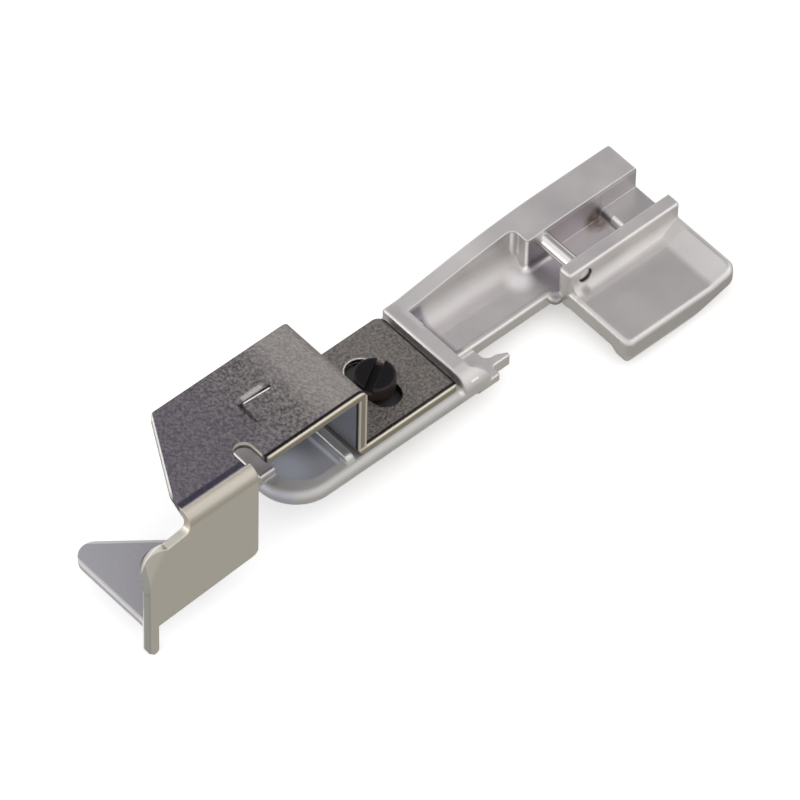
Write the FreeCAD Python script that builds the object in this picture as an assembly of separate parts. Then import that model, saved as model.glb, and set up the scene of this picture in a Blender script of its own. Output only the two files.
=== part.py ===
import FreeCAD, Part
import math
import os

# Presser foot for an overlock sewing machine, with an adjustable hem guide.
# Millimetres, +Z up, +X to the operator's right, +Y to the back of the machine.
# The origin lies on the sole, on the middle line of the pin channel and just behind the snap pin's axis.

# Casting, seen from above
LEFT_SIDE = -6.85         # X of the casting's left side
PAD_RIGHT = 6.6           # X of the right side under the guide
WAIST_RIGHT = 2.4         # X of the right side beside the needles
WING_RIGHT = 13.6         # X of the right side of the wing
NOSE_FRONT = -43.65       # Y of the front end
BACK_END = 13.1           # Y of the back end
NOSE_CORNER_RIGHT = 5.2   # plan radius of the nose at the right
NOSE_CORNER_LEFT = 2.6    # plan radius of the nose at the left

# Pad that the guide lies on, and the two ribs that the guide slides between
PAD_TOP = 2.2
REAR_RIB_LENGTH = 2.0
REAR_RIB_TOP = 3.7
CROSS_RIB_LENGTH = 1.1
CROSS_RIB_TOP = 2.95
RIB_GAP = 0.45            # play between the guide and each rib
EDGE_ROUND = 0.35         # rounding of the casting's upper edges
PAD_EDGE_ROUND = 0.9
PAD_SOLE_ROUND = 1.15     # rounding of the sole's edge round the pad
SOLE_EDGE_ROUND = 0.3
RIM_SOLE_ROUND = 0.7      # rounding of the sole's edge beside the trough
RIB_EDGE_ROUND = 0.3
SHOULDER_LENGTH = 3.5     # from the rear rib's front to the end of its shoulder at the right
SHOULDER_ROUND = 1.75     # large rounding of the rear rib's right end

# Nose
LIP_LENGTH = 2.3
LIP_TOP = 3.2
LIP_RIGHT = 1.7
NOSE_FLOOR = 1.2
NOSE_RIM = 1.75           # width of the rim round the dished pocket
NOSE_FLOOR_ROUND = 0.5

# Stitch finger and its plate
FINGER_TOP = 1.5
FINGER_PLATE_BACK = -14.35
FINGER_BACK = -11.85
FINGER_LEFT = 4.25
FINGER_RIGHT = 5.35
FINGER_TIP = 0.5          # width of the finger's blunt end
FINGER_TAPER = 1.2        # length of the slanted end
FINGER_TIP_ROUND = 0.22
FINGER_EDGE_ROUND = 0.2

# Trough and pin channel
WALL_TOP = 5.8
WALL_RISE_END = -3.3      # Y where the left wall stops rising
WALL_BEND_REACH = 6.5     # the curve there begins this far before it and ends this far after it
TROUGH_LEFT = -4.8
RIM_TOP = 2.1
RIM_WIDTH = 0.7
FLOOR_TOP = 1.0
TROUGH_HOLLOW = 2.3       # large fillet between the left wall and the floor
TROUGH_ROUND = 0.75       # fillet between the trough's floor and its walls
TROUGH_CORNER = 0.8       # plan radius where the trough widens to the channel
TROUGH_STEP = 1.0         # length of the rim's curve there
CHANNEL_FRONT = -2.55
CHANNEL_HALF = 2.42       # half of the width between the channel's walls
CHANNEL_CORNER = 0.45
RIGHT_WALL = 1.85         # thickness of the channel's right wall
POCKET_FRONT = 1.75
POCKET_FLOOR = 1.6
LEDGE_FRONT = 8.1
LEDGE_TOP = 2.7
LEDGE_ROUND = 0.45
LUG_RADIUS = 0.85
LUG_BOTTOM = 1.2
LUG_TOP = 2.05
LUG_ROUND = 0.35
LUG_X = 2.75
LUG_Y = -3.15

# Wing
WING_FRONT = -2.6
WING_BACK = 13.3
WING_TOP = 3.0
WING_UNDERSIDE = 0.9
WING_TOE_ROUND = 0.3
WING_LIFT = 0.4           # the lower edge rises by this much behind the toe
WING_TOE_LENGTH = 3.6
WING_UNDER_ROUND = 8.0
WING_HEEL_START = 9.7     # Y where the top turns up
WING_HEEL_TOP = 3.95
WING_HEEL_THICK = 1.8
WING_UNDER_START = 6.9    # Y where the lower edge turns up
WING_SKIRT = 1.5          # width of the skirt along the right side
WING_SKIRT_SLOPE = 1.0
WING_CORNER_FRONT = 1.0
WING_CORNER_BACK = 1.5
WING_EDGE_ROUND = 0.65
WING_CREASE_ROUND = 3.0   # where the top turns up
WALL_FOOT_ROUND = 1.3     # hollow between the right wall and the wing

# Snap pin
PIN_RADIUS = 0.9
PIN_HEIGHT = 4.45         # Z of the pin's axis
PIN_Y = -0.28             # Y of the pin's axis
PIN_LEFT_DEPTH = 2.0      # how far the pin goes into the left wall
PIN_RECESS = 0.35         # how far its right end lies inside the wall's face
PIN_CHAMFER = 0.12

# Clamp screw
SCREW_Y = -26.3
SHANK_RADIUS = 1.45
THREAD_CLEARANCE = 0.05   # between the shank and its hole, on the radius
SHANK_GROUND = 0.35       # the shank ends this far above the sole
HEAD_RADIUS = 2.3
HEAD_HEIGHT = 1.7
HEAD_CHAMFER = 0.15
DRIVE_WIDTH = 0.95
DRIVE_DEPTH = 0.85
DRIVE_ANGLE = -60.0       # direction of the screwdriver slot, degrees from +X

# Guide, one folded sheet; its X values are given from the screw with the guide at rest
SHEET = 1.0
GUIDE_LEFT = -6.65
GUIDE_RIGHT = 5.75
BASE_BACK_LENGTH = 6.6    # from the screw to the base's back edge
BASE_FRONT_LENGTH = 7.2   # from the screw to the riser's front face
BASE_CORNER_LEFT = 1.1
BASE_CORNER_RIGHT = 0.5
GUIDE_HEIGHT = 9.3        # from the top of the base to the top of the upper plate
BEND_INSIDE = 0.25
BEND_OUTSIDE = 1.05
SLOT_WIDTH = 3.5
SLOT_LEFT = -3.95
SLOT_RIGHT = 3.5
UPPER_LEFT_LENGTH = 25.2  # from the screw to the upper plate's left front corner
UPPER_SLANT_X = 2.5       # where the slanted front edge turns
UPPER_SLANT_LENGTH = 30.4
UPPER_CORNER = 0.8
UPPER_SLANT_ROUND = 2.2

# Bend relief between the upper plate and the side wall
RELIEF_BACK = 19.95
RELIEF_WIDTH = 2.3
RELIEF_CENTRE_X = 3.35
RELIEF_CORNER = 0.5

# Side wall of the guide
WALL_OUTSIDE = 6.4        # X of the wall's outer face
WALL_BEND_OUTSIDE = 1.5
WALL_REAR = 21.7          # from the screw to the wall's rear edge
WALL_NECK = 31.0
WALL_FRONT = 36.6
WALL_REAR_BOTTOM = -1.15  # Z of the lower edge at the rear
WALL_FRONT_BOTTOM = -2.1  # Z of the lower edge at the tab
WALL_FRONT_TOP = 9.3
WALL_NECK_TOP = 10.1
WALL_NECK_ROUND = 0.7
WALL_FRONT_ROUND = 2.9
WALL_CORNER = 0.8
CURL_BOTTOM = 4.2         # Z where the bend of the front corner meets the front edge
CURL_LENGTH = 2.4         # how far behind the front edge it meets the upper edge
CURL_ANGLE = 35.0         # the corner is bent to the left by this much
TAB_LENGTH = 1.3
TAB_BOTTOM = -6.45
TAB_CHAMFER = 0.7

# Flange of the side wall
FLANGE_TIP_X = -8.4       # where its two edges would meet
FLANGE_REAR = 22.4
FLANGE_ROOT_X = 4.2
FLANGE_TIP_ROUND = 1.8

# Lanced corner in the upper plate
LANCE_X = -1.25
LANCE_Y = 17.4
LANCE_LONG = 4.1
LANCE_SHORT = 2.7
LANCE_SLIT = 0.3
LANCE_LIFT = 0.35

BIG = 100.0
TINY = 0.001


def vec(x, y, z):
    return FreeCAD.Vector(x, y, z)


def box(x0, x1, y0, y1, z0, z1):
    """Block between two corners."""
    return Part.makeBox(x1 - x0, y1 - y0, z1 - z0, vec(x0, y0, z0))


def rounded_wire(corners, place):
    """Closed outline through corners (u, v, radius); place turns (u, v) into a point."""
    edges = []
    ends = []
    count = len(corners)
    for i in range(count):
        before = FreeCAD.Vector(*corners[i - 1][:2], 0)
        here = FreeCAD.Vector(*corners[i][:2], 0)
        after = FreeCAD.Vector(*corners[(i + 1) % count][:2], 0)
        radius = corners[i][2]
        if radius == 0:
            ends.append((here, None, here))
            continue
        to_before = (before - here).normalize()
        to_after = (after - here).normalize()
        half = to_before.getAngle(to_after) / 2
        reach = radius / math.tan(half)
        bisector = (to_before + to_after).normalize()
        middle = here + bisector * (radius / math.sin(half) - radius)
        ends.append((here + to_before * reach, middle, here + to_after * reach))
    for i in range(count):
        start, middle, end = ends[i]
        following = ends[(i + 1) % count][0]
        if middle is not None:
            edges.append(Part.Arc(place(start), place(middle), place(end)).toShape())
        if (following - end).Length > TINY:
            edges.append(Part.LineSegment(place(end), place(following)).toShape())
    return Part.Wire(edges)


def prism_xy(corners, z0, z1):
    """Outline seen from above, extruded from z0 to z1."""
    face = Part.Face(rounded_wire(corners, lambda p: vec(p.x, p.y, z0)))
    return face.extrude(vec(0, 0, z1 - z0))


def prism_xz(corners, y0, y1):
    """Outline seen from the front, extruded from y0 to y1."""
    face = Part.Face(rounded_wire(corners, lambda p: vec(p.x, y0, p.y)))
    return face.extrude(vec(0, y1 - y0, 0))


def prism_yz(corners, x0, x1):
    """Outline seen from the side, extruded from x0 to x1."""
    face = Part.Face(rounded_wire(corners, lambda p: vec(x0, p.x, p.y)))
    return face.extrude(vec(x1 - x0, 0, 0))


def round_edges(shape, radius, wanted):
    """Fillet the edges that the function wanted picks."""
    return shape.makeFillet(radius, [edge for edge in shape.Edges if wanted(edge)])


def level(edge, z):
    """True for an edge that lies at height z all along."""
    bounds = edge.BoundBox
    return abs(bounds.ZMin - z) < TINY and abs(bounds.ZMax - z) < TINY


def upright(edge):
    bounds = edge.BoundBox
    return bounds.XLength < TINY and bounds.YLength < TINY


def fuse(shapes):
    return shapes[0].fuse(shapes[1:]).removeSplitter()


def rear_rib_front():
    return SCREW_Y + BASE_BACK_LENGTH + RIB_GAP


def rear_rib_back():
    return rear_rib_front() + REAR_RIB_LENGTH


def cross_rib_back():
    return SCREW_Y - BASE_FRONT_LENGTH - RIB_GAP


def cross_rib_front():
    return cross_rib_back() - CROSS_RIB_LENGTH


def nose_outline(inset, back):
    """Plan outline of the front of the casting, moved inwards by inset."""
    return [
        (LEFT_SIDE + inset, back, 0),
        (LEFT_SIDE + inset, NOSE_FRONT + inset, NOSE_CORNER_LEFT - inset),
        (PAD_RIGHT - inset, NOSE_FRONT + inset, NOSE_CORNER_RIGHT - inset),
        (PAD_RIGHT - inset, back, 0),
    ]


def pad():
    """Flat front half, rounded in plan at the nose, with its upper and lower edges rounded."""
    back = rear_rib_back()
    slab = prism_xy(nose_outline(0, back), 0, PAD_TOP)
    outer = lambda edge: edge.BoundBox.YMin < back - TINY
    slab = round_edges(slab, PAD_EDGE_ROUND, lambda e: level(e, PAD_TOP) and outer(e))
    return round_edges(slab, PAD_SOLE_ROUND, lambda e: level(e, 0) and outer(e))


def nose_pocket():
    """Dished pocket between the cross rib and the front lip, as the shape to take away."""
    front = NOSE_FRONT + LIP_LENGTH
    right = PAD_RIGHT - NOSE_RIM
    corner = NOSE_CORNER_RIGHT - NOSE_RIM
    outline = [
        (LEFT_SIDE + NOSE_RIM, cross_rib_front(), NOSE_FLOOR_ROUND + TINY),
        (LEFT_SIDE + NOSE_RIM, front, NOSE_FLOOR_ROUND + TINY),
        (right, front, corner),
        (right, cross_rib_front(), NOSE_FLOOR_ROUND + TINY),
    ]
    core = prism_xy(outline, NOSE_FLOOR, PAD_TOP)
    core = round_edges(core, NOSE_FLOOR_ROUND, lambda e: level(e, NOSE_FLOOR))
    return core.fuse(prism_xy(outline, PAD_TOP - TINY, BIG))


def front_lip():
    """Raised wall along the front of the nose."""
    back = NOSE_FRONT + LIP_LENGTH
    wall = box(LEFT_SIDE, LIP_RIGHT, NOSE_FRONT, back, PAD_SOLE_ROUND, LIP_TOP)
    right_end = lambda e: upright(e) and e.BoundBox.XMin > LIP_RIGHT - TINY
    wall = round_edges(wall, EDGE_ROUND, lambda e: level(e, LIP_TOP) or right_end(e))
    return wall.common(prism_xy(nose_outline(0, rear_rib_back()), 0, BIG))


def cross_rib():
    """Low rib in front of the guide's riser."""
    corners = [
        (LEFT_SIDE, PAD_SOLE_ROUND, 0),
        (LEFT_SIDE, CROSS_RIB_TOP, EDGE_ROUND),
        (PAD_RIGHT - PAD_EDGE_ROUND, CROSS_RIB_TOP, PAD_EDGE_ROUND),
        (PAD_RIGHT - PAD_EDGE_ROUND, PAD_SOLE_ROUND, 0),
    ]
    rib = prism_xz(corners, cross_rib_front(), cross_rib_back())
    return round_edges(rib, EDGE_ROUND / 2, lambda e: level(e, CROSS_RIB_TOP) and e.BoundBox.YLength < TINY)


def rear_rib():
    """Rib behind the guide's base, with a large rounding at its right end and a shoulder behind that."""
    corners = [
        (LEFT_SIDE, PAD_SOLE_ROUND, 0),
        (LEFT_SIDE, REAR_RIB_TOP, EDGE_ROUND),
        (PAD_RIGHT, REAR_RIB_TOP, SHOULDER_ROUND),
        (PAD_RIGHT, PAD_SOLE_ROUND, 0),
    ]
    front = rear_rib_front()
    rib = prism_xz(corners, front, rear_rib_back())
    rib = round_edges(rib, RIB_EDGE_ROUND, lambda e: level(e, REAR_RIB_TOP) and e.BoundBox.YLength < TINY)
    root = rear_rib_back() - RIB_EDGE_ROUND
    plan = [
        (PAD_RIGHT - SHOULDER_ROUND, root, 0),
        (PAD_RIGHT, root, 0),
        (PAD_RIGHT, front + SHOULDER_LENGTH, 0),
    ]
    shoulder = prism_xz(corners, root, front + SHOULDER_LENGTH).common(prism_xy(plan, 0, BIG))
    return rib.fuse(shoulder)


def finger_plate():
    """Thin plate right of the trough, with the finger that the stitches form on."""
    front = rear_rib_back()
    slot = (FINGER_LEFT - WAIST_RIGHT) / 2
    corner = (PAD_RIGHT - FINGER_RIGHT) / 4
    corners = [
        (PAD_RIGHT, front, 0),
        (PAD_RIGHT, FINGER_PLATE_BACK, corner),
        (FINGER_RIGHT, FINGER_PLATE_BACK, corner),
        (FINGER_RIGHT, FINGER_BACK, FINGER_TIP_ROUND),
        (FINGER_RIGHT - FINGER_TIP, FINGER_BACK, FINGER_TIP_ROUND),
        (FINGER_LEFT, FINGER_BACK - FINGER_TAPER, FINGER_TIP_ROUND),
        (FINGER_LEFT, FINGER_PLATE_BACK, slot - TINY),
        (WAIST_RIGHT - TINY, FINGER_PLATE_BACK, 0),
        (WAIST_RIGHT - TINY, front, 0),
    ]
    section = [
        (0, 0, 0),
        (0, FINGER_TOP, 0),
        (PAD_RIGHT, FINGER_TOP, 0),
        (PAD_RIGHT, 0, RIM_SOLE_ROUND),
    ]
    plate = prism_xy(corners, 0, FINGER_TOP)
    free = lambda e: e.BoundBox.YMax > front + TINY and e.BoundBox.XMax > WAIST_RIGHT
    plate = round_edges(plate, FINGER_EDGE_ROUND, lambda e: level(e, FINGER_TOP) and free(e))
    return plate.common(prism_xz(section, front, FINGER_BACK))


def left_wall():
    """Left side of the trough and of the pin channel, rising towards the pin."""
    front = rear_rib_front()
    slope = (WALL_TOP - REAR_RIB_TOP) / (WALL_RISE_END - rear_rib_back())
    bend = WALL_BEND_REACH / math.tan(math.atan(slope) / 2)
    corners = [
        (front, 0, 0),
        (front, REAR_RIB_TOP, RIB_EDGE_ROUND),
        (rear_rib_back(), REAR_RIB_TOP, 0),
        (WALL_RISE_END, WALL_TOP, bend),
        (BACK_END, WALL_TOP, EDGE_ROUND),
        (BACK_END, 0, SOLE_EDGE_ROUND),
    ]
    wall = prism_yz(corners, LEFT_SIDE, -CHANNEL_HALF)
    outer = lambda e: e.BoundBox.XMax < LEFT_SIDE + TINY and e.BoundBox.ZMax > RIM_TOP
    return wall.makeFillet(EDGE_ROUND, [e for e in wall.Edges if outer(e) and not upright(e)])


def trough_slab():
    """Floor and right rim of the trough, with the sole's edge rounded only where it lies free."""

    def length(y0, y1, rim_round, sole_round):
        section = [
            (LEFT_SIDE, 0, 0),
            (LEFT_SIDE, RIM_TOP, 0),
            (WAIST_RIGHT, RIM_TOP, rim_round),
            (WAIST_RIGHT, 0, sole_round),
        ]
        return prism_xz(section, y0, y1)

    beside_plate = length(rear_rib_front(), FINGER_PLATE_BACK, EDGE_ROUND, 0)
    free = length(FINGER_PLATE_BACK, CHANNEL_FRONT, EDGE_ROUND, RIM_SOLE_ROUND)
    return fuse([beside_plate, free, length(CHANNEL_FRONT, BACK_END, 0, 0)])


def ledge():
    """Raised floor at the back of the channel."""
    return box(-CHANNEL_HALF - TINY, CHANNEL_HALF + TINY, LEDGE_FRONT, BACK_END, 0, LEDGE_TOP)


def right_wall():
    """Right wall of the pin channel, with a hollow foot that runs into the wing."""
    outer = CHANNEL_HALF + RIGHT_WALL
    side = [
        (CHANNEL_FRONT, 0, 2 * CHANNEL_CORNER),
        (CHANNEL_FRONT, WALL_TOP, 0),
        (WING_BACK, WALL_TOP, 0),
        (WING_BACK, 0, 0),
    ]
    wall = prism_yz(side, WAIST_RIGHT - TINY, outer)
    rounded = lambda e: e.BoundBox.YMax < 0 or e.BoundBox.XMin > WAIST_RIGHT
    wall = round_edges(wall, CHANNEL_CORNER, lambda e: upright(e) and rounded(e))
    wall = round_edges(wall, EDGE_ROUND, lambda e: level(e, WALL_TOP))
    low = WING_TOP - WALL_FOOT_ROUND / 2
    foot = box(outer - CHANNEL_CORNER, outer + WALL_FOOT_ROUND, CHANNEL_FRONT + CHANNEL_CORNER,
               WING_BACK - CHANNEL_CORNER, low, WING_TOP + WALL_FOOT_ROUND)
    axis = vec(outer + WALL_FOOT_ROUND, CHANNEL_FRONT, WING_TOP + WALL_FOOT_ROUND)
    scoop = Part.makeCylinder(WALL_FOOT_ROUND, BIG, axis, vec(0, 1, 0))
    return wall.fuse(foot.cut(scoop))


def wing():
    """Flat wing at the right, turned up at the heel, with a skirt along its outer side."""
    inner = CHANNEL_HALF + RIGHT_WALL / 2
    heel_low = WING_HEEL_TOP - WING_HEEL_THICK
    side = [
        (WING_FRONT, 0, WING_TOE_ROUND),
        (WING_FRONT, WING_TOP, 0),
        (WING_HEEL_START, WING_TOP, WING_CREASE_ROUND),
        (WING_BACK, WING_HEEL_TOP, 0),
        (WING_BACK, heel_low, WING_EDGE_ROUND),
        (WING_UNDER_START, WING_LIFT, WING_UNDER_ROUND),
        (WING_FRONT + WING_TOE_LENGTH, WING_LIFT, WING_UNDER_ROUND),
    ]
    skirt = WING_RIGHT - WING_SKIRT
    front = [
        (inner, WING_UNDERSIDE, 0),
        (inner, BIG, 0),
        (WING_RIGHT, BIG, 0),
        (WING_RIGHT, 0, WING_EDGE_ROUND),
        (skirt, 0, WING_EDGE_ROUND),
        (skirt - WING_SKIRT_SLOPE, WING_UNDERSIDE, WING_EDGE_ROUND),
    ]
    plan = [
        (inner, WING_FRONT, 0),
        (WING_RIGHT, WING_FRONT, WING_CORNER_FRONT),
        (WING_RIGHT, WING_BACK, WING_CORNER_BACK),
        (inner, WING_BACK, 0),
    ]
    block = prism_yz(side, inner, WING_RIGHT)
    block = block.common(prism_xz(front, WING_FRONT, WING_BACK))
    block = block.common(prism_xy(plan, 0, BIG))
    upper = lambda e: e.BoundBox.ZMin > WING_TOP - TINY and e.BoundBox.XMax > inner + TINY
    inside = lambda e: e.BoundBox.YMin > WING_FRONT + TINY and e.BoundBox.YMax < WING_BACK - TINY
    crossing = lambda e: inside(e) and e.BoundBox.YLength < TINY
    return round_edges(block, WING_EDGE_ROUND, lambda e: upper(e) and not crossing(e))


def trough_core():
    """Room inside the trough and under the pin, as the shape to take away."""
    rim = WAIST_RIGHT - RIM_WIDTH
    corners = [
        (TROUGH_LEFT, rear_rib_back(), 0),
        (rim, rear_rib_back(), 0),
        (rim, CHANNEL_FRONT - TROUGH_STEP, CHANNEL_CORNER),
        (CHANNEL_HALF, CHANNEL_FRONT - CHANNEL_CORNER, 0),
        (CHANNEL_HALF, POCKET_FRONT, 0),
        (-CHANNEL_HALF, POCKET_FRONT, 0),
        (-CHANNEL_HALF, CHANNEL_FRONT, CHANNEL_CORNER),
        (TROUGH_LEFT, CHANNEL_FRONT, TROUGH_CORNER),
    ]
    core = prism_xy(corners, FLOOR_TOP, BIG)
    walled = lambda e: level(e, FLOOR_TOP) and e.BoundBox.YMin < POCKET_FRONT - TINY
    section = [
        (TROUGH_LEFT, FLOOR_TOP, TROUGH_HOLLOW),
        (TROUGH_LEFT, BIG, 0),
        (BIG, BIG, 0),
        (BIG, FLOOR_TOP, 0),
    ]
    return round_edges(core, TROUGH_ROUND, walled).common(prism_xz(section, rear_rib_front(), BACK_END))


def channel_core():
    """Room behind the pin: a deep pocket, then a ledge with a rounded edge that leads out at the back."""
    corners = [
        (POCKET_FRONT - TINY, POCKET_FLOOR, 0),
        (LEDGE_FRONT, POCKET_FLOOR, LEDGE_ROUND),
        (LEDGE_FRONT, LEDGE_TOP, LEDGE_ROUND),
        (BIG, LEDGE_TOP, 0),
        (BIG, BIG, 0),
        (POCKET_FRONT - TINY, BIG, 0),
    ]
    return prism_yz(corners, -CHANNEL_HALF, CHANNEL_HALF)


def pin_bore():
    """Hole for the snap pin, open at the right."""
    start = -CHANNEL_HALF - PIN_LEFT_DEPTH
    length = CHANNEL_HALF + RIGHT_WALL + WALL_FOOT_ROUND - start
    return Part.makeCylinder(PIN_RADIUS, length, vec(start, PIN_Y, PIN_HEIGHT), vec(1, 0, 0))


def foot_body():
    """The whole casting."""
    front = pad().cut(nose_pocket())
    solid = fuse([front, front_lip(), cross_rib(), rear_rib(), finger_plate(), left_wall(),
                  trough_slab(), ledge(), right_wall(), wing()])
    lug = Part.makeCylinder(LUG_RADIUS, LUG_TOP - LUG_BOTTOM, vec(LUG_X, LUG_Y, LUG_BOTTOM))
    lug = round_edges(lug, LUG_ROUND, lambda e: level(e, LUG_TOP) or level(e, LUG_BOTTOM))
    solid = solid.fuse(lug).cut(trough_core()).cut(channel_core())
    hole = Part.makeCylinder(SHANK_RADIUS + THREAD_CLEARANCE, PAD_TOP * 2, vec(0, SCREW_Y, -PAD_TOP / 2))
    return solid.cut(hole).cut(pin_bore()).removeSplitter()


def snap_pin():
    """Plain rod with chamfered ends, pressed through the channel's walls."""
    start = -CHANNEL_HALF - PIN_LEFT_DEPTH
    end = CHANNEL_HALF + RIGHT_WALL - PIN_RECESS
    rod = Part.makeCylinder(PIN_RADIUS, end - start, vec(start, PIN_Y, PIN_HEIGHT), vec(1, 0, 0))
    return rod.makeChamfer(PIN_CHAMFER, [e for e in rod.Edges if e.BoundBox.XLength < TINY])


def clamp_screw():
    """Slotted cheese-head screw."""
    seat = PAD_TOP + SHEET
    head = Part.makeCylinder(HEAD_RADIUS, HEAD_HEIGHT, vec(0, SCREW_Y, seat))
    head = head.makeChamfer(HEAD_CHAMFER, [e for e in head.Edges if level(e, seat + HEAD_HEIGHT)])
    shank = Part.makeCylinder(SHANK_RADIUS, seat - SHANK_GROUND, vec(0, SCREW_Y, SHANK_GROUND))
    drive = box(-BIG, BIG, -DRIVE_WIDTH / 2, DRIVE_WIDTH / 2, -DRIVE_DEPTH, DRIVE_DEPTH)
    drive.rotate(vec(0, 0, 0), vec(0, 0, 1), DRIVE_ANGLE)
    drive.translate(vec(0, SCREW_Y, seat + HEAD_HEIGHT))
    return head.fuse(shank).removeSplitter().cut(drive)


def from_screw(corners):
    """Plan corners given as lengths in front of the screw, turned into the part's frame."""
    return [(x, SCREW_Y - length, radius) for x, length, radius in corners]


def guide_fold():
    """Base, riser and upper plate seen from the side: one Z-shaped fold."""
    low = PAD_TOP
    top = PAD_TOP + SHEET + GUIDE_HEIGHT
    back = SCREW_Y + BASE_BACK_LENGTH
    riser_front = SCREW_Y - BASE_FRONT_LENGTH
    riser_back = riser_front + SHEET
    front = SCREW_Y - WALL_NECK - SHEET
    corners = [
        (back, low, 0),
        (back, low + SHEET, 0),
        (riser_back, low + SHEET, BEND_INSIDE),
        (riser_back, top, BEND_OUTSIDE),
        (front, top, 0),
        (front, top - SHEET, 0),
        (riser_front, top - SHEET, BEND_INSIDE),
        (riser_front, low, BEND_OUTSIDE),
    ]
    return prism_yz(corners, GUIDE_LEFT, GUIDE_RIGHT)


def upper_outline():
    """Plan outline that the fold is trimmed to."""
    relief_front = RELIEF_BACK + RELIEF_WIDTH
    bend_start = WALL_OUTSIDE - WALL_BEND_OUTSIDE
    return from_screw([
        (GUIDE_LEFT, -BASE_BACK_LENGTH, BASE_CORNER_LEFT),
        (GUIDE_LEFT, UPPER_LEFT_LENGTH, UPPER_CORNER),
        (UPPER_SLANT_X, UPPER_SLANT_LENGTH, UPPER_SLANT_ROUND),
        (bend_start, WALL_NECK, 0),
        (bend_start, relief_front, 0),
        (RELIEF_CENTRE_X, relief_front, 0),
        (RELIEF_CENTRE_X, RELIEF_BACK, 0),
        (GUIDE_RIGHT, RELIEF_BACK, RELIEF_CORNER),
        (GUIDE_RIGHT, -BASE_BACK_LENGTH, BASE_CORNER_RIGHT),
    ])


def side_wall():
    """Side wall with the bend at its top, its neck, its front end and the tab below."""
    top = PAD_TOP + SHEET + GUIDE_HEIGHT
    inside = WALL_OUTSIDE - SHEET
    bend_start = WALL_OUTSIDE - WALL_BEND_OUTSIDE
    tab_round = TAB_LENGTH - TAB_CHAMFER
    fold = [
        (bend_start, top, 0),
        (WALL_OUTSIDE, top, WALL_BEND_OUTSIDE - TINY),
        (WALL_OUTSIDE, TAB_BOTTOM, 0),
        (inside, TAB_BOTTOM, 0),
        (inside, top - SHEET, WALL_BEND_OUTSIDE - SHEET - TINY),
        (bend_start, top - SHEET, 0),
    ]
    sheet = prism_xz(fold, SCREW_Y - WALL_FRONT, SCREW_Y - WALL_REAR)
    side = [
        (-WALL_REAR, top, 0),
        (-WALL_REAR, WALL_REAR_BOTTOM, WALL_CORNER),
        (-WALL_FRONT + TAB_LENGTH, WALL_FRONT_BOTTOM, 0),
        (-WALL_FRONT + TAB_LENGTH, TAB_BOTTOM, tab_round),
        (-WALL_FRONT + TAB_CHAMFER, TAB_BOTTOM, 0),
        (-WALL_FRONT, TAB_BOTTOM + TAB_CHAMFER, 0),
        (-WALL_FRONT, WALL_FRONT_TOP, WALL_FRONT_ROUND),
        (-WALL_NECK, WALL_NECK_TOP, WALL_NECK_ROUND),
        (-WALL_NECK, top, 0),
    ]
    placed = [(SCREW_Y + y, z, radius) for y, z, radius in side]
    return bend_corner(sheet.common(prism_yz(placed, bend_start, WALL_OUTSIDE)))


def bend_corner(wall):
    """Bend the wall's upper front corner to the left, round a slanted line on its inner face."""
    inside = WALL_OUTSIDE - SHEET
    front = SCREW_Y - WALL_FRONT
    low = vec(inside, front, CURL_BOTTOM)
    high = vec(inside, front + CURL_LENGTH, WALL_FRONT_TOP)
    along = high - low
    beyond = high + along
    region = Part.makePolygon([low, beyond, vec(inside, front - WALL_BEND_OUTSIDE, beyond.z),
                               vec(inside, front - WALL_BEND_OUTSIDE, CURL_BOTTOM), low])
    corner = wall.common(Part.Face(region).extrude(vec(SHEET, 0, 0)))
    rest = wall.cut(corner)
    seam = [f for f in corner.Faces if abs(f.normalAt(0, 0).dot(along)) < TINY and f.normalAt(0, 0).y > TINY]
    elbow = seam[0].revolve(low, along, -CURL_ANGLE)
    corner.rotate(low, along, -CURL_ANGLE)
    return rest.fuse([elbow, corner]).removeSplitter()


def flange():
    """Flange folded to the left along the sloping lower edge of the side wall."""
    plan = from_screw([
        (WALL_OUTSIDE, FLANGE_REAR, 0),
        (FLANGE_ROOT_X, FLANGE_REAR, 0),
        (FLANGE_TIP_X, WALL_FRONT, FLANGE_TIP_ROUND),
        (WALL_OUTSIDE, WALL_FRONT, 0),
    ])
    run = WALL_FRONT - TAB_LENGTH - WALL_REAR
    slope = math.degrees(math.atan((WALL_REAR_BOTTOM - WALL_FRONT_BOTTOM) / run))
    sheet = prism_xy(plan, WALL_REAR_BOTTOM, WALL_REAR_BOTTOM + SHEET)
    sheet.rotate(vec(0, SCREW_Y - WALL_REAR, WALL_REAR_BOTTOM), vec(1, 0, 0), slope)
    front = box(-BIG, BIG, SCREW_Y - WALL_FRONT - BIG, SCREW_Y - WALL_FRONT, -BIG, BIG)
    return sheet.cut(front)


def lance():
    """Slit that frees the lanced corner, and the corner itself lifted out of the plate."""
    top = PAD_TOP + SHEET + GUIDE_HEIGHT
    x, y = LANCE_X, SCREW_Y - LANCE_Y
    long_slit = box(x - LANCE_SLIT, x, y - LANCE_SLIT, y + LANCE_LONG, top - 2 * SHEET, top + SHEET)
    short_slit = box(x - LANCE_SLIT, x + LANCE_SHORT, y - LANCE_SLIT, y, top - 2 * SHEET, top + SHEET)

    def triangle(peak, rest):
        ends = [vec(x, y, peak), vec(x + LANCE_SHORT, y, rest), vec(x, y + LANCE_LONG, rest)]
        return Part.makePolygon(ends + ends[:1])

    buried = triangle(top - SHEET / 2, top - SHEET / 2)
    lifted = triangle(top + LANCE_LIFT, top)
    return long_slit.fuse(short_slit), Part.makeLoft([buried, lifted], True, True)


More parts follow.
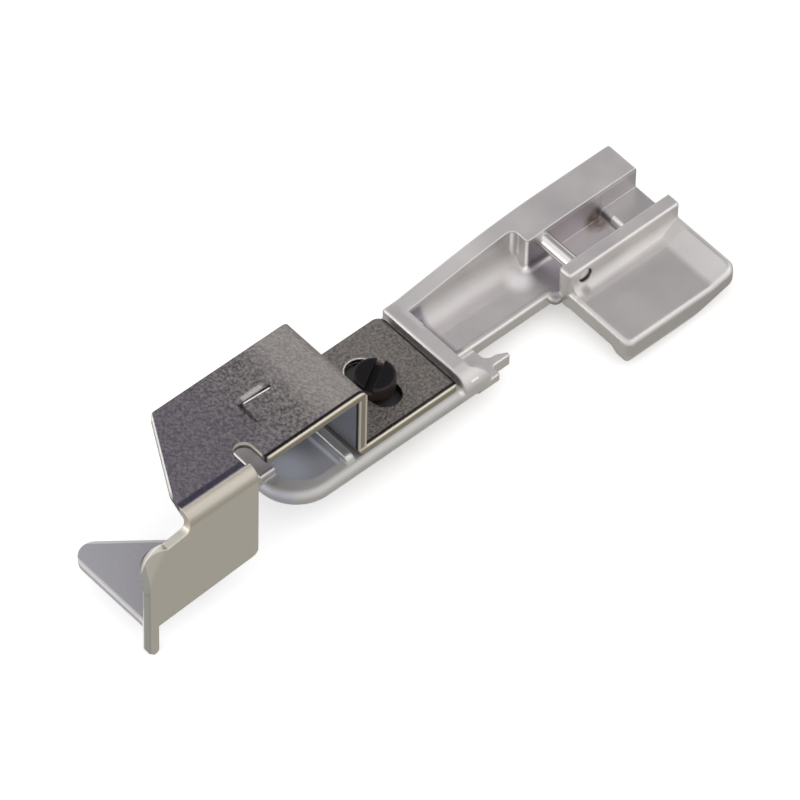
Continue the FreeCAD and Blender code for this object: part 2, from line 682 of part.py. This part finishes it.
def guide_plate():
    """The folded sheet of the hem guide."""
    top = PAD_TOP + SHEET + GUIDE_HEIGHT
    trimmed = guide_fold().common(prism_xy(upper_outline(), -BIG, BIG))
    relief_radius = RELIEF_WIDTH / 2
    relief = Part.makeCylinder(relief_radius, BIG,
                               vec(RELIEF_CENTRE_X, SCREW_Y - RELIEF_BACK - relief_radius, top - 2 * SHEET))
    slot_radius = SLOT_WIDTH / 2
    slot = prism_xy([
        (SLOT_LEFT, SCREW_Y - slot_radius, slot_radius - TINY),
        (SLOT_RIGHT, SCREW_Y - slot_radius, slot_radius - TINY),
        (SLOT_RIGHT, SCREW_Y + slot_radius, slot_radius - TINY),
        (SLOT_LEFT, SCREW_Y + slot_radius, slot_radius - TINY),
    ], PAD_TOP - SHEET, PAD_TOP + 2 * SHEET)
    slit, tongue = lance()
    sheet = trimmed.cut(relief).cut(slot)
    sheet = sheet.fuse([side_wall(), flange()]).removeSplitter()
    return sheet.cut(slit).fuse(tongue).removeSplitter()


def main():
    os.makedirs("parts", exist_ok=True)
    nodes = {
        "foot_body": foot_body(),
        "snap_pin": snap_pin(),
        "guide_plate": guide_plate(),
        "clamp_screw": clamp_screw(),
    }
    for name, shape in nodes.items():
        solids = shape.Solids
        print(name, "solids", len(solids), "valid", shape.isValid(), "volume", round(shape.Volume, 2),
              "faces", len(shape.Faces))
        part = solids[0] if len(solids) == 1 else shape
        part.exportStep(os.path.join("parts", name + ".step"))


main()
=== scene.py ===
# %% [markdown]
# # A presser foot with a hem guide
#
# The foot has four pieces: a satin plated casting, a steel pin pressed through it, a guide folded from one
# sheet, and a blackened screw. Their solids come from the CAD model, which is loaded here as a fixed frame.
# This script gives them their surfaces, sets up the camera and the light, and lays the foot on a pale floor.

# %% Load the frame
import math

import bpy
import numpy as np
from mathutils import Matrix, Vector

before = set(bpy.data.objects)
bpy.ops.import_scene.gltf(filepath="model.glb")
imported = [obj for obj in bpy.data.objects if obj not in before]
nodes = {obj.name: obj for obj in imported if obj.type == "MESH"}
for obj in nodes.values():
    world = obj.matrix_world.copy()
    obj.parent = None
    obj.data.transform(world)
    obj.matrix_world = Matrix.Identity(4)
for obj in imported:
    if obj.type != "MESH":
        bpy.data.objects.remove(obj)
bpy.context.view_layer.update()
MM = 0.001
print("nodes:", sorted(nodes))

# %% [markdown]
# ## The camera
#
# The picture was taken from the right and from high above, with a very long lens, so parallel edges stay
# nearly parallel. The camera looks along one line through a point under the guide. Its three axes follow from
# the azimuth, the elevation and a small roll, and the distance follows from the lens.

# %% Place the camera
AZIMUTH, ELEVATION, ROLL = np.radians([47.3, 51.1, 1.43])
TARGET = np.array([-3.554, -19.322, -8.466]) * MM
FOCAL_PIXELS = 9300.0     # focal length in pixels of the 800 pixel frame
PIXELS_PER_MM = 9.4       # scale of the picture at the target

back = np.array([math.sin(AZIMUTH) * math.cos(ELEVATION), -math.cos(AZIMUTH) * math.cos(ELEVATION),
                 math.sin(ELEVATION)])
level_right = np.array([math.cos(AZIMUTH), math.sin(AZIMUTH), 0.0])
level_up = np.cross(back, level_right)
right = math.cos(ROLL) * level_right + math.sin(ROLL) * level_up
up = -math.sin(ROLL) * level_right + math.cos(ROLL) * level_up
distance = FOCAL_PIXELS / PIXELS_PER_MM * MM

lens = bpy.data.cameras.new("camera")
lens.sensor_width = 36.0
lens.sensor_fit = "HORIZONTAL"
lens.lens = FOCAL_PIXELS / 800 * lens.sensor_width
lens.clip_start = 0.1
lens.clip_end = 20.0
camera = bpy.data.objects.new("camera", lens)
bpy.context.scene.collection.objects.link(camera)
pose = np.eye(4)
pose[:3, 0], pose[:3, 1], pose[:3, 2] = right, up, back
pose[:3, 3] = TARGET + back * distance
camera.matrix_world = Matrix(pose.tolist())
bpy.context.scene.camera = camera
print("camera distance in mm:", round(distance / MM, 1), "lens:", round(lens.lens, 1))

# %% [markdown]
# ## Smooth curves, crisp corners
#
# A solid from CAD arrives as loose flat triangles. Three modifiers turn them into a clean surface without
# touching the mesh: Weld joins the corners, Edge Split parts them again where two faces meet at a real corner,
# and Weighted Normal lets the large flat faces stay flat beside the small ones of a rounding.

# %% Smooth the CAD nodes
def smooth(node, corner_degrees):
    """Shade a CAD node smoothly, except across corners sharper than corner_degrees."""
    faces = node.data.polygons
    faces.foreach_set("use_smooth", np.ones(len(faces), bool))
    weld = node.modifiers.new("weld", "WELD")
    weld.merge_threshold = 0.002 * MM
    split = node.modifiers.new("split", "EDGE_SPLIT")
    split.split_angle = math.radians(corner_degrees)
    split.use_edge_sharp = False
    weighted = node.modifiers.new("weighted", "WEIGHTED_NORMAL")
    weighted.mode = "FACE_AREA"
    weighted.weight = 100


for name, node in sorted(nodes.items()):
    smooth(node, corner_degrees=32)
    print(name, "triangles:", len(node.data.polygons))

# %% [markdown]
# ## Helpers for materials
#
# A material is a small graph. `add` puts one node into a graph and sets or links its inputs, so that the
# graph reads like a recipe. `new_material` starts one with a Principled BSDF, whose plain numbers are set on
# its own sockets. `ramp` turns a factor into a colour between two others.

# %% Define the helpers
def add(tree, kind, values=None, **settings):
    """Add a shader node; values maps its input names or numbers to values or to output sockets."""
    node = tree.nodes.new("ShaderNode" + kind)
    for name, value in settings.items():
        setattr(node, name, value)
    for key, value in (values or {}).items():
        if isinstance(value, bpy.types.NodeSocket):
            tree.links.new(value, node.inputs[key])
        else:
            node.inputs[key].default_value = value
    return node


def new_material(name, **numbers):
    """Start a material; numbers are the constants of its Principled BSDF, with _ for a space."""
    made = bpy.data.materials.new(name)
    made.use_nodes = True
    shader = made.node_tree.nodes["Principled BSDF"]
    for key, value in numbers.items():
        shader.inputs[key.replace("_", " ").title()].default_value = value
    return made, made.node_tree, shader


def math_node(tree, operation, first, second=0.0, third=0.0, clamp=False):
    """Output of one Math node."""
    return add(tree, "Math", {0: first, 1: second, 2: third}, operation=operation, use_clamp=clamp).outputs[0]


def blend(tree, factor, first, second):
    """Output of a colour mix: first where factor is 0, second where it is 1."""
    return add(tree, "Mix", {0: factor, 6: first, 7: second}, data_type="RGBA").outputs[2]


def ramp(tree, factor, low, high):
    """Output of a colour ramp; low and high each have a position and a colour."""
    node = add(tree, "ValToRGB", {0: factor})
    for index, (position, colour) in enumerate((low, high)):
        node.color_ramp.elements[index].position = position
        node.color_ramp.elements[index].color = (*colour, 1)
    return node.outputs[0]


# %% [markdown]
# ## Grain
#
# No metal surface is perfectly even. The group below makes two kinds of unevenness from Object coordinates:
# a fine relief, like orange peel, and wide soft clouds. Each material decides how much of either it shows.
# No edge is perfectly sharp either: a Bevel node rounds the shading over a fraction of a millimetre, so that
# every edge can catch the light, while the mesh stays as it is.

# %% Build the grain group
def new_group(name, inputs, outputs):
    """Start a node group; inputs and outputs are lists of (name, type, default)."""
    group = bpy.data.node_groups.new(name, "ShaderNodeTree")
    for title, kind, default in inputs:
        group.interface.new_socket(title, in_out="INPUT", socket_type="NodeSocket" + kind).default_value = default
    for title, kind in outputs:
        group.interface.new_socket(title, in_out="OUTPUT", socket_type="NodeSocket" + kind)
    return group, group.nodes.new("NodeGroupInput"), group.nodes.new("NodeGroupOutput")


grain, grain_in, grain_out = new_group(
    "metal grain",
    [("Size mm", "Float", 0.2), ("Cloud mm", "Float", 6.0)],
    [("Relief", "Float"), ("Cloud", "Float")])
place = add(grain, "TexCoord").outputs["Object"]
fine = math_node(grain, "DIVIDE", 1000.0, grain_in.outputs["Size mm"])
wide = math_node(grain, "DIVIDE", 1000.0, grain_in.outputs["Cloud mm"])
relief = add(grain, "TexNoise", {"Vector": place, "Scale": fine, "Detail": 4.0, "Roughness": 0.68})
cloud = add(grain, "TexNoise", {"Vector": place, "Scale": wide, "Detail": 2.0, "Roughness": 0.5})
grain.links.new(relief.outputs[0], grain_out.inputs["Relief"])
grain.links.new(cloud.outputs[0], grain_out.inputs["Cloud"])


def add_grain(tree, size, cloud_size):
    """Place the grain group in a material; returns its relief and cloud outputs."""
    made = tree.nodes.new("ShaderNodeGroup")
    made.node_tree = grain
    made.inputs["Size mm"].default_value = size
    made.inputs["Cloud mm"].default_value = cloud_size
    return made.outputs["Relief"], made.outputs["Cloud"]


def bump(tree, shader, height, depth_mm, edge_mm):
    """Feed the shader's normal: edges rounded by edge_mm, with a height on top as a relief depth_mm deep."""
    edge = add(tree, "Bevel", {"Radius": edge_mm * MM}, samples=6)
    node = add(tree, "Bump", {"Height": height, "Distance": depth_mm * MM, "Normal": edge.outputs[0]})
    tree.links.new(node.outputs[0], shader.inputs["Normal"])


print("group:", grain.name)

# %% [markdown]
# ## Masks
#
# Wear, tints and shading sit at certain places of the part. A mask is a factor between 0 and 1 that is read
# from the Object coordinates: `inside` fills a block, `around` a ball and `beyond` all that lies past a plane,
# each with a soft border. `paint` lays colours over another one where masks are 1, in the order of a list.

# %% Define the masks
FREE = (None, None, None)         # corner of a block without borders
SCREW_Y = -26.3                   # Y of the screw's axis, in mm
SLOT_ENDS = (-2.2, 1.75)          # X of the middles of the slot's two rounded ends, in mm


def place_of(tree):
    """Object coordinates of a graph."""
    return add(tree, "TexCoord").outputs["Object"]


def fade(tree, value, full, none):
    """Smooth factor: 1 where value reaches full, 0 where it reaches none, both in mm."""
    return add(tree, "MapRange", {0: value, 1: full * MM, 2: none * MM, 3: 1.0, 4: 0.0},
               interpolation_type="SMOOTHSTEP").outputs[0]


def inside(tree, low, high, soft):
    """Factor that is 1 in the block from low to high (mm, None: no border) and fades over soft mm."""
    parts = add(tree, "SeparateXYZ", {0: place_of(tree)})
    factor = None
    for axis in range(3):
        for border, outward in ((low[axis], -1), (high[axis], 1)):
            if border is None:
                continue
            part = fade(tree, parts.outputs[axis], border, border + outward * soft)
            factor = part if factor is None else both(tree, factor, part)
    return factor


def around(tree, centre, radius, soft):
    """Factor that is 1 within radius mm of centre (mm) and fades over soft mm."""
    middle = Vector(centre) * MM
    length = add(tree, "VectorMath", {0: place_of(tree), 1: middle}, operation="DISTANCE").outputs["Value"]
    return fade(tree, length, radius, radius + soft)


def along_slot(tree, radius, soft):
    """Factor that is 1 within radius mm of the middle line of the guide's slot, seen from above."""
    parts = add(tree, "SeparateXYZ", {0: place_of(tree)})
    nearest = add(tree, "Clamp", {"Value": parts.outputs[0], "Min": SLOT_ENDS[0] * MM,
                                  "Max": SLOT_ENDS[1] * MM}).outputs[0]
    across = math_node(tree, "SUBTRACT", parts.outputs[0], nearest)
    along = math_node(tree, "SUBTRACT", parts.outputs[1], SCREW_Y * MM)
    squares = math_node(tree, "MULTIPLY_ADD", across, across, math_node(tree, "MULTIPLY", along, along))
    return fade(tree, math_node(tree, "SQRT", squares), radius, radius + soft)


def beyond(tree, direction, border, soft):
    """Factor that is 1 where the place reaches further than border (mm) in a direction; fades over soft mm."""
    towards = Vector(direction).normalized()
    reach = add(tree, "VectorMath", {0: place_of(tree), 1: towards}, operation="DOT_PRODUCT").outputs["Value"]
    return fade(tree, reach, border, border - soft)


def both(tree, first, second):
    """Factor that is 1 where both masks are."""
    return math_node(tree, "MULTIPLY", first, second)


def any_of(tree, masks):
    """Factor that is 1 where at least one of the masks is."""
    factor = masks[0]
    for mask in masks[1:]:
        factor = math_node(tree, "MAXIMUM", factor, mask)
    return factor


def outside(tree, mask):
    """Factor that is 1 where the mask is 0."""
    return math_node(tree, "SUBTRACT", 1.0, mask, clamp=True)


def paint(tree, colour, layers):
    """Colour with layers of paint over it, in order; each has a mask, a strength and a colour."""
    for mask, strength, tone in layers:
        colour = blend(tree, math_node(tree, "MULTIPLY", mask, strength), colour, (*tone, 1))
    return colour


print("masks:", inside.__name__, around.__name__, along_slot.__name__, beyond.__name__)

# %% [markdown]
# ## Satin plating of the casting
#
# The casting is blasted and plated, which gives an even, silky grey with soft highlights. It is a rough
# metal: the light of the whole studio spreads over it, and its rounded edges shine. Narrow gaps and the walls
# of the channel mirror little light, so they get painted shade, and some edges and spots get painted highlights.
# A brown flaw with painted shade sits in the channel's deep corner, painted shade marks the gap where the pin
# ends inside its hole, a small grey spot is left from use, and a painted highlight makes a dash on the rib's end.

# %% Make the casting's material
EVEN, CLOUDY, DULL = 0.35, 0.10, 0.22     # roughness everywhere, from the clouds, and where it is dull
BLOTCHES = 1300.0                         # noise scale of the brown flaw, for blotches of about 0.8 mm

casting, tree, shader = new_material("satin plating", metallic=1.0)
relief, cloud = add_grain(tree, 0.16, 5.0)
plating = ramp(tree, cloud, (0.3, (0.61, 0.588, 0.585)), (0.7, (0.69, 0.668, 0.648)))

blotch = add(tree, "TexNoise", {"Vector": place_of(tree), "Scale": BLOTCHES, "Detail": 4.0}).outputs[0]
blotch = math_node(tree, "MULTIPLY_ADD", blotch, 2.4, -0.35, clamp=True)
# the brown flaw in the channel's corner, with painted shade in that deep corner
flaw_and_shade = both(tree, around(tree, (-2.1, 7.3, 2.1), 0.6, 1.4), blotch)
flaw_and_shade = both(tree, flaw_and_shade, inside(tree, FREE, (-0.9, 7.8, None), 0.2))
uneven = math_node(tree, "MULTIPLY_ADD", blotch, 0.6, 0.5, clamp=True)
# painted shade in the gap round the pin's end
pin_gap_shade = both(tree, inside(tree, (3.9, -1.2, 3.4), (4.22, 0.7, 5.4), 0.05), uneven)
# painted highlights: bright streaks on the edges of the stepped wall
highlight_streaks = any_of(tree, [inside(tree, (-2.65, -2.65, 1.0), (-2.5, -2.5, 5.3), 0.25),
                        inside(tree, (-4.85, -2.8, 1.6), (-4.6, -2.6, 5.2), 0.3),
                        inside(tree, (-3.9, -2.8, 2.6), (-3.85, -2.5, 5.4), 0.25)])

colour = paint(tree, plating, [
    # the whole front half, lit less than the rear
    (inside(tree, FREE, (None, -19.9, 2.9), 0.3), 0.65, (0.52, 0.52, 0.505)),
    # painted shade in the channel behind its ledge and in the channel before it, and the shade under the pin
    (inside(tree, (-2.5, 8.0, None), (2.3, None, 5.0), 0.25), 0.5, (0.42, 0.41, 0.42)),
    (inside(tree, (-2.5, -2.4, None), (2.3, 8.0, 4.9), 0.25), 0.45, (0.42, 0.38, 0.43)),
    (around(tree, (0.3, -1.6, 1.4), 1.0, 3.0), 0.4, (0.20, 0.18, 0.23)),
    # painted highlights: a bright spot on the trough's floor, and bright streaks on the stepped wall above it
    (around(tree, (-1.75, -4.2, 1.2), 0.4, 1.7), 0.9, (1.0, 0.98, 1.0)),
    (highlight_streaks, 0.9, (1.0, 0.97, 0.95)),
    # the hollow of the nose: its floor, the shade under the guide, and the light at its front and on the lip
    (inside(tree, FREE, (4.9, -34.7, 1.9), 0.3), 0.7, (0.50, 0.51, 0.58)),
    (around(tree, (-2.5, -36.0, 1.2), 1.5, 4.5), 0.65, (0.16, 0.17, 0.21)),
    (around(tree, (1.4, -39.6, 1.4), 0.4, 3.2), 0.75, (0.72, 0.75, 0.83)),
    (around(tree, (-0.1, -42.0, 2.6), 0.6, 0.9), 0.75, (0.80, 0.80, 0.80)),
    # brown flaw with painted shade in the corner of the channel, and a painted highlight on the front edge of the
    # ledge beside it
    (flaw_and_shade, 0.8, (0.18, 0.14, 0.095)),
    (inside(tree, (-0.8, 7.9, 2.0), (2.5, 8.55, 2.8), 0.15), 0.9, (1.0, 0.98, 0.98)),
    # shade beside the lug, grey spot below the pin, and painted shade in the gap round the pin's end
    (around(tree, (3.3, -3.4, 1.5), 0.5, 0.5), 0.6, (0.16, 0.16, 0.19)),
    (around(tree, (4.9, -0.85, 2.9), 0.3, 0.55), 0.6, (0.22, 0.19, 0.19)),
    (pin_gap_shade, 0.95, (0.08, 0.058, 0.03)),
    # the pad below the slot, painted shadow in the gap between guide and rear rib, and a painted highlight on the
    # rib's crest
    (inside(tree, (-4.0, -28.1, None), (3.6, -24.5, 2.25), 0.1), 0.85, (0.03, 0.028, 0.03)),
    (inside(tree, (None, -19.8, 2.9), (5.6, -19.42, 3.52), 0.06), 1.0, (0.008, 0.007, 0.007)),
    (inside(tree, (None, -19.7, 3.58), (5.2, -19.3, None), 0.08), 0.9, (1.0, 0.98, 0.97)),
    # shade behind the rear rib, wide and soft, with a narrow line where the floor begins
    (inside(tree, (-4.8, -17.7, None), (1.7, -15.9, 2.9), 0.7), 0.7, (0.24, 0.21, 0.27)),
    (inside(tree, (-6.0, -16.5, None), (0.6, -15.98, 1.7), 0.15), 0.8, (0.20, 0.18, 0.22)),
    # the wing, and a painted highlight in a short dash on the rib's rounded end
    (inside(tree, (5.4, -2.3, 1.0), (None, 13.0, 2.9), 0.3), 0.45, (0.50, 0.48, 0.465)),
    (inside(tree, (6.27, -18.2, 2.2), (6.31, -17.3, None), 0.08), 0.9, (1.0, 0.98, 0.95)),
])
tree.links.new(colour, shader.inputs["Base Color"])

dull = any_of(tree, [inside(tree, FREE, (None, -19.9, 2.3), 0.2),                           # front half
                     inside(tree, (4.4, -19.0, 1.0), (None, -15.5, None), 0.4),             # shoulder
                     inside(tree, (-4.9, -17.6, None), (-2.0, -3.5, 3.5), 0.5),             # trough's hollow
                     inside(tree, (4.3, -2.3, 2.9), (6.0, None, 4.4), 0.2)])                # right wall's foot
evenness = math_node(tree, "MULTIPLY_ADD", cloud, CLOUDY, EVEN)
tree.links.new(math_node(tree, "MULTIPLY_ADD", dull, DULL, evenness), shader.inputs["Roughness"])
bump(tree, shader, relief, 0.022, 0.25)
print("material:", casting.name)

# %% [markdown]
# ## Dark nickel plating of the guide
#
# The guide's sheet has a fine leathery grain that came from rolling and plating, so its flat faces look dark
# and lively; the upper plate gets painted light, brownish, at the rear and painted shade, purplish, at the front.
# The cut edges are olive with a thin painted highlight along the top, and more painted highlights and shade sit
# along its edges. The outer bend, the side wall and the flange are smoother and lighter.

# %% Make the sheet's material
BASE_TOP, PLATE_TOP = 3.2, 12.5           # Z of the two flat faces, in mm
RISER_FRONT, RISER_BACK = -33.5, -32.5    # Y of the riser's faces
CUT = 5.6                                 # X beyond which only the cut right edges lie
STRAW, OLIVE = (0.88, 0.82, 0.66), (0.36, 0.335, 0.27)

sheet, tree, shader = new_material("dark nickel sheet")
relief, cloud = add_grain(tree, 0.36, 3.0)
grainy = ramp(tree, relief, (0.39, (0.06, 0.053, 0.055)), (0.63, (0.32, 0.296, 0.27)))

wall_side = inside(tree, (5.2, None, None), (None, -48.0, 11.9), 0.5)
bend = inside(tree, (5.2, None, 11.0), (None, -48.0, None), 0.4)
flange = inside(tree, FREE, (5.35, -47.0, 0.8), 0.3)
riser_face = inside(tree, (None, RISER_FRONT - 0.2, 3.0), (5.5, RISER_FRONT + 0.15, 11.4), 0.1)
cut_edges = inside(tree, (CUT, -46.4, None), FREE, 0.04)

# painted highlights on the flange's front and rear rims
front_rim_highlight = inside(tree, (None, None, -1.5), (5.3, -62.65, 0.0), 0.08)
rear_rim_highlight = both(tree, beyond(tree, (-0.748, 0.664, 0), -35.75, 0.1), flange)
# painted shade on the wall of the slot
slot_wall_shade = both(tree, along_slot(tree, 1.78, 0.05), inside(tree, (None, None, 2.0), (None, None, 3.3), 0.1))
# painted highlights round the slot, along the top of the cut edges, along the riser, on the wall's rim and on the
# slanted edge
slot_arc_highlights = any_of(tree, [inside(tree, (None, None, 3.05), (-2.4, None, 3.3), 0.08),
                          inside(tree, (None, None, 2.55), (-2.8, None, 2.65), 0.08)])
slot_arc_highlights = both(tree, along_slot(tree, 1.85, 0.06), slot_arc_highlights)
top_edge_highlights = any_of(tree, [
    inside(tree, (None, None, BASE_TOP - 0.22), (None, RISER_FRONT - 0.1, 3.4), 0.06),
    inside(tree, (None, RISER_FRONT + 0.1, BASE_TOP - 0.22), (None, None, 3.4), 0.06),
    inside(tree, (None, None, PLATE_TOP - 0.26), FREE, 0.06)])
riser_edge_highlights = any_of(tree, [
    inside(tree, (None, RISER_FRONT - 0.1, 3.2), (None, RISER_FRONT + 0.15, 11.4), 0.06),
    inside(tree, (None, RISER_BACK - 0.22, 3.2), (None, RISER_BACK + 0.1, 12.0), 0.06)])
wall_arc_highlight = both(tree, outside(tree, around(tree, (5.4, -60.0, 6.4), 2.72, 0.08)),
                inside(tree, (5.3, None, 6.4), (5.5, -60.0, None), 0.06))
wall_rim_highlight = any_of(tree, [wall_arc_highlight, inside(tree, (5.3, None, -6.2), (5.5, -62.72, 6.4), 0.06)])
slanted_edge_highlight = both(tree, beyond(tree, (-5.2, -9.15, 0), 47.95, 0.1), inside(tree, (None, None, 11.9), FREE, 0.1))

colour = paint(tree, grainy, [
    # clouds, painted shade, purple, towards the front of the upper plate, olive on the base
    (cloud, 0.4, (0.15, 0.135, 0.17)),
    (inside(tree, (None, None, 11.5), (None, -50.0, None), 12.0), 0.55, (0.115, 0.10, 0.135)),
    (inside(tree, (None, -33.0, None), (None, None, 3.4), 0.5), 0.35, (0.19, 0.175, 0.145)),
    # side wall, the bend above it, and painted shade along the crease beside the bend
    (wall_side, 0.9, (0.70, 0.68, 0.61)),
    (bend, 0.8, (0.54, 0.50, 0.43)),
    (inside(tree, (4.3, -57.2, 12.3), (4.75, -48.7, None), 0.25), 0.8, (0.03, 0.025, 0.05)),
    # flange and painted highlights on its rims, the riser's bluish front, and painted light on the rear of the
    # upper plate
    (flange, 0.9, (0.42, 0.415, 0.45)),
    (front_rim_highlight, 0.75, (0.72, 0.71, 0.69)),
    (rear_rim_highlight, 0.75, (0.72, 0.71, 0.69)),
    (riser_face, 0.9, (0.40, 0.42, 0.48)),
    (inside(tree, (None, -36.0, 12.2), FREE, 4.5), 0.5, (0.42, 0.39, 0.37)),
    # painted shade: dark lines along the back edge of the base, in the gap before the rear rib, and beside the
    # right edges of both flats
    (inside(tree, (None, -19.85, None), (None, None, 3.4), 0.14), 0.9, (0.008, 0.007, 0.008)),
    (inside(tree, (5.25, -46.2, 3.1), (5.42, None, None), 0.14), 0.9, (0.008, 0.007, 0.008)),
    (inside(tree, (5.25, -46.2, 12.3), (5.42, None, None), 0.14), 0.9, (0.008, 0.007, 0.008)),
    # cut edges: their olive side, the front faces of wall and tab painted lighter as painted light, and painted
    # shade on the slot's wall
    (cut_edges, 0.9, OLIVE),
    (inside(tree, (5.3, None, None), (None, -62.75, None), 0.1), 0.9, (0.50, 0.50, 0.48)),
    (slot_wall_shade, 0.85, (0.05, 0.045, 0.042)),
    # painted highlights: bright lines along the cut edges, round the slot and the relief, at the neck, the wall
    # and the slant
    (both(tree, cut_edges, top_edge_highlights), 0.9, STRAW),
    (both(tree, cut_edges, riser_edge_highlights), 0.9, (0.80, 0.76, 0.64)),
    (slot_arc_highlights, 0.9, (0.9, 0.88, 0.82)),
    (inside(tree, (2.0, -48.8, 12.0), (4.9, -46.1, 12.42), 0.07), 0.9, (0.95, 0.90, 0.78)),
    (inside(tree, (4.0, -58.2, 9.0), (None, -57.25, None), 0.05), 0.9, (0.68, 0.64, 0.56)),
    (wall_rim_highlight, 0.9, (0.85, 0.84, 0.80)),
    (slanted_edge_highlight, 0.9, (1.0, 1.0, 0.96)),
    # the lanced corner: painted light where the plate bends down beside its slit, and a painted highlight on the
    # edge of the tongue
    (inside(tree, (-2.05, -43.0, 12.3), (-1.8, -40.6, None), 0.35), 0.6, (0.66, 0.64, 0.62)),
    (inside(tree, (-1.27, -43.5, 12.5), (-1.14, -40.0, None), 0.08), 1.0, (1.0, 0.97, 0.92)),
])
tree.links.new(colour, shader.inputs["Base Color"])
tree.links.new(math_node(tree, "MULTIPLY_ADD", flange, -0.6, 1.0), shader.inputs["Metallic"])

smoothness = any_of(tree, [wall_side, cut_edges, flange, bend, riser_face])
tree.links.new(math_node(tree, "MULTIPLY_ADD", smoothness, 0.18, 0.28), shader.inputs["Roughness"])
depth = math_node(tree, "MULTIPLY_ADD", smoothness, -0.9, 1.0)
bump(tree, shader, math_node(tree, "MULTIPLY", relief, depth), 0.32, 0.25)
print("material:", sheet.name)

# %% [markdown]
# ## Black oxide screw and bright pin
#
# The screw is blackened and slightly oily, with a painted highlight on the rim of its head, and its side has
# turned brown. The pin is ground steel, so it carries one clear highlight; its right end is as grey as the wall
# round it.

# %% Make the screw's and the pin's materials
oxide, tree, shader = new_material("black oxide", metallic=0.6, roughness=0.35)
relief, cloud = add_grain(tree, 0.2, 1.5)
black = ramp(tree, cloud, (0.0, (0.010, 0.008, 0.011)), (1.0, (0.026, 0.021, 0.028)))
# painted highlight on the rim of the screw's head
head_rim_highlight = both(tree, outside(tree, around(tree, (0, SCREW_Y, 4.75), 2.28, 0.05)),
                inside(tree, (None, None, 4.7), FREE, 0.05))
colour = paint(tree, black, [
    # brown lower side, black slot, and a painted highlight on the rim of the head
    (inside(tree, FREE, (None, None, 4.55), 0.2), 0.8, (0.07, 0.052, 0.04)),
    (around(tree, (0, SCREW_Y, 4.6), 1.95, 0.1), 1.0, (0.006, 0.005, 0.006)),
    (head_rim_highlight, 0.7, (0.10, 0.08, 0.07)),
])
tree.links.new(colour, shader.inputs["Base Color"])
bump(tree, shader, relief, 0.006, 0.12)

steel, tree, shader = new_material("ground steel", roughness=0.2)
relief, cloud = add_grain(tree, 0.1, 2.0)
ground = ramp(tree, cloud, (0.0, (0.62, 0.60, 0.58)), (1.0, (0.78, 0.76, 0.73)))
end = inside(tree, (3.3, None, None), FREE, 0.2)
tree.links.new(paint(tree, ground, [(end, 1.0, (0.66, 0.63, 0.63))]), shader.inputs["Base Color"])
tree.links.new(math_node(tree, "MULTIPLY_ADD", end, -0.95, 1.0), shader.inputs["Metallic"])
bump(tree, shader, relief, 0.004, 0.1)

finishes = {"foot_body": casting, "guide_plate": sheet, "clamp_screw": oxide, "snap_pin": steel}
for name, finish in finishes.items():
    slots = nodes[name].data.materials
    slots.clear()
    slots.append(finish)
    print(name, "->", finish.name)

# %% [markdown]
# ## Floor and light
#
# The foot lies on a pale table. It rests on the tab of the guide and on the heel of the casting, so the table
# is tilted a few degrees against the sole. The light is a pale room with one dark side, which the flat sheet
# mirrors, and soft lamps that draw the highlights on the rounded edges.

# %% Lay the floor
TAB = np.array([5.9, -62.2, -6.45]) * MM
HEEL = np.array([5.9, 12.9, 0.0]) * MM
FLOOR_HALF = 2.0
tilt = math.atan2(HEEL[2] - TAB[2], HEEL[1] - TAB[1])
side = np.array([1.0, 0.0, 0.0]) * FLOOR_HALF
along = np.array([0.0, math.cos(tilt), math.sin(tilt)]) * FLOOR_HALF
corners = [TAB - side - along, TAB + side - along, TAB + side + along, TAB - side + along]
floor_mesh = bpy.data.meshes.new("floor")
floor_mesh.from_pydata([tuple(c) for c in corners], [], [(0, 1, 2, 3)])
floor = bpy.data.objects.new("floor", floor_mesh)
bpy.context.scene.collection.objects.link(floor)
table, tree, shader = new_material("pale table", roughness=0.6)
shader.inputs["Base Color"].default_value = (0.9, 0.9, 0.9, 1)
shader.inputs["Emission Color"].default_value = (1, 1, 1, 1)
shader.inputs["Emission Strength"].default_value = 0.3
floor_mesh.materials.append(table)
floor.visible_glossy = False
print("floor tilt in degrees:", round(math.degrees(tilt), 2))

# %% Light the studio
def lamp(name, direction, reach, size, watts, colour=(1, 1, 1)):
    """Square soft lamp in a direction seen from the foot, facing it."""
    light = bpy.data.lights.new(name, "AREA")
    light.size = size
    light.energy = watts
    light.color = colour
    made = bpy.data.objects.new(name, light)
    bpy.context.scene.collection.objects.link(made)
    towards = Vector(direction).normalized()
    made.location = Vector(TARGET) + towards * reach
    made.rotation_euler = towards.to_track_quat("Z", "Y").to_euler()
    return made


lamp("overhead softbox", (0.40, 0.43, 0.80), reach=0.7, size=0.36, watts=0.38, colour=(1.0, 0.95, 0.92))
lamp("front softbox", (-0.46, -0.86, 0.20), reach=0.7, size=0.30, watts=0.7)

world = bpy.data.worlds.new("studio")
bpy.context.scene.world = world
world.use_nodes = True
tree = world.node_tree
sky = tree.nodes["Background"]
look = add(tree, "TexCoord").outputs["Generated"]
DARK_SIDE = Vector((-0.47, 0.52, 0.71)).normalized()
LOW_SIDE = (0.46, 0.445, 0.42)    # colour of the room below the foot
ROOM_STRENGTH = 1.1
towards_dark = add(tree, "VectorMath", {0: look, 1: DARK_SIDE}, operation="DOT_PRODUCT").outputs["Value"]
room = ramp(tree, towards_dark, (0.82, (1.0, 1.0, 1.0)), (0.96, (0.37, 0.355, 0.375)))
height = add(tree, "SeparateXYZ", {0: look}).outputs[2]
below = add(tree, "MapRange", {0: height, 1: 0.06, 2: -0.10, 3: 0.0, 4: 1.0},
            interpolation_type="SMOOTHSTEP").outputs[0]
surroundings = blend(tree, below, room, (*LOW_SIDE, 1))
tree.links.new(surroundings, sky.inputs["Color"])
sky.inputs["Strength"].default_value = ROOM_STRENGTH
bpy.context.scene.view_settings.view_transform = "Standard"
